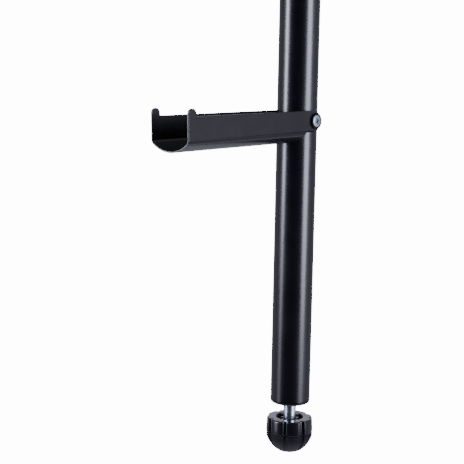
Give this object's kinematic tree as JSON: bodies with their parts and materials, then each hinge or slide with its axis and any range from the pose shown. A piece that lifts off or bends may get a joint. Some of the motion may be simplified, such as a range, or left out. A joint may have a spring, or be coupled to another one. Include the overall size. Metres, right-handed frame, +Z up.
{
  "type": "stand post with folding support arm and levelling foot",
  "caption": "Round steel stand post with a channel-shaped support arm that folds up over it and a screw-in levelling foot with a star knob and a rubber dome.",
  "frame": {"origin": "where the foot meets the floor, on the post's axis, with the foot set as it is at rest", "axes": "+Z up along the post, -Y towards the free end of the support arm, +X towards the head of the cross bolt"},
  "size_m": [0.0471, 0.157, 0.41],
  "materials": {
    "post_paint": "black powder coat, satin, slightly orange-peeled",
    "arm_paint": "black powder coat, satin",
    "plug_plastic": "moulded black polyethylene, half matt",
    "washer_plastic": "black nylon, half matt",
    "knob_plastic": "moulded black nylon, glossy",
    "dome_rubber": "moulded black rubber, matt",
    "bright_zinc": "bright zinc plate with a blue passivation",
    "zinc_steel": "plain zinc plate",
    "nylon": "natural nylon"
  },
  "bodies": {
    "post": {"post_tube": "post_paint", "top_insert": "plug_plastic", "top_insert_nut": "zinc_steel", "foot_insert": "plug_plastic", "foot_insert_nut": "zinc_steel", "crush_tube": "zinc_steel", "pivot_bolt": "bright_zinc", "head_washer": "washer_plastic", "nut_washer": "zinc_steel", "lock_nut": "bright_zinc", "lock_nut_ring": "nylon"},
    "arm": {"support_arm": "arm_paint", "arm_bush_near": "nylon", "arm_bush_far": "nylon"},
    "foot_pad": {"dome_foot": "dome_rubber", "seat_disc": "zinc_steel", "stud_retainer": "zinc_steel"},
    "foot_screw": {"levelling_stud": "bright_zinc", "star_knob": "knob_plastic", "knob_nut": "zinc_steel"}
  },
  "joints": [
    {"name": "arm_fold", "type": "hinge", "parent": "post", "child": "arm", "pos_m": [0, 0, 0.2586], "axis": [-1, 0, 0], "range_deg": [0, 89.7]},
    {"name": "foot_travel", "type": "slide", "parent": "post", "child": "foot_pad", "axis": [0, 0, -1], "range_m": [-0.0105, 0.012]},
    {"name": "foot_turn", "type": "hinge", "parent": "foot_pad", "child": "foot_screw", "pos_m": [0, 0, 0.0218], "axis": [0, 0, -1], "range_deg": [-2520, 2880]}
  ],
  "couplings": [
    {"joint": "foot_turn", "follows": "foot_travel", "rad_per_m": 4188.8}
  ]
}
